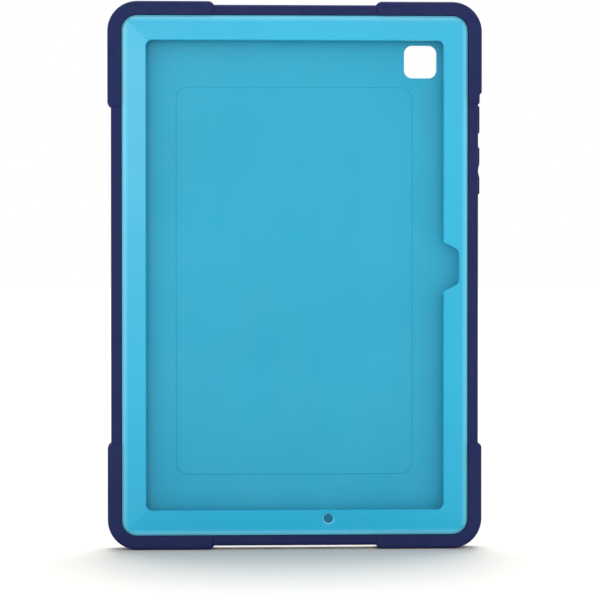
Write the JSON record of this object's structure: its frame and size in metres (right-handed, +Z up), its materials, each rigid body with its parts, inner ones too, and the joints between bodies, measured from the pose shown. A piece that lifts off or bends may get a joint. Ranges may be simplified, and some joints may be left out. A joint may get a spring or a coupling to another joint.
{
  "type": "tablet case",
  "caption": "Rugged three-layer tablet case: hard rear shell and front frame in a thick soft skin with raised corner bumpers, key pads and a fold-out kickstand.",
  "frame": {"origin": "under the middle of the bottom edge, with the case standing in portrait on its two lower corner bumpers", "axes": "+Z up the long side, the screen side faces -Y, +X to the right seen from the screen side"},
  "size_m": [0.183, 0.016, 0.2675],
  "materials": {
    "frame_plastic": "fine spark-eroded satin, cyan polycarbonate",
    "shell_plastic": "satin moulded polycarbonate, cyan",
    "skin_silicone": "matt moulded silicone, navy",
    "foot_rubber": "matt silicone, navy",
    "pin_steel": "drawn stainless wire",
    "washer_nylon": "natural nylon"
  },
  "bodies": {
    "case_body": {"rear_shell": "shell_plastic", "outer_skin": "skin_silicone", "hinge_pin_lower": "pin_steel", "hinge_pin_upper": "pin_steel", "hinge_washer_lower": "washer_nylon", "hinge_washer_upper": "washer_nylon"},
    "front_frame": {"front_frame": "frame_plastic"},
    "power_button": {"power_button_pad": "skin_silicone"},
    "volume_rocker": {"volume_rocker_pad": "skin_silicone"},
    "kickstand": {"kickstand_leg": "shell_plastic", "kickstand_foot": "foot_rubber"}
  },
  "joints": [
    {"name": "front_frame_lift", "type": "slide", "parent": "case_body", "child": "front_frame", "axis": [0, -1, 0], "range_m": [0, 0.03]},
    {"name": "power_button_press", "type": "slide", "parent": "case_body", "child": "power_button", "axis": [-1, 0, 0], "range_m": [0, 0.0006], "stiffness_N_per_m": 4000},
    {"name": "volume_rocker_tilt", "type": "hinge", "parent": "case_body", "child": "volume_rocker", "pos_m": [0.086, -0.00185, 0.185], "axis": [0, 1, 0], "range_deg": [-2.5, 2.5], "stiffness_Nm_per_rad": 0.45},
    {"name": "kickstand_hinge", "type": "hinge", "parent": "case_body", "child": "kickstand", "pos_m": [0.0045, 0.0059, 0.13375], "axis": [0, 0, -1], "range_deg": [0, 60]}
  ]
}
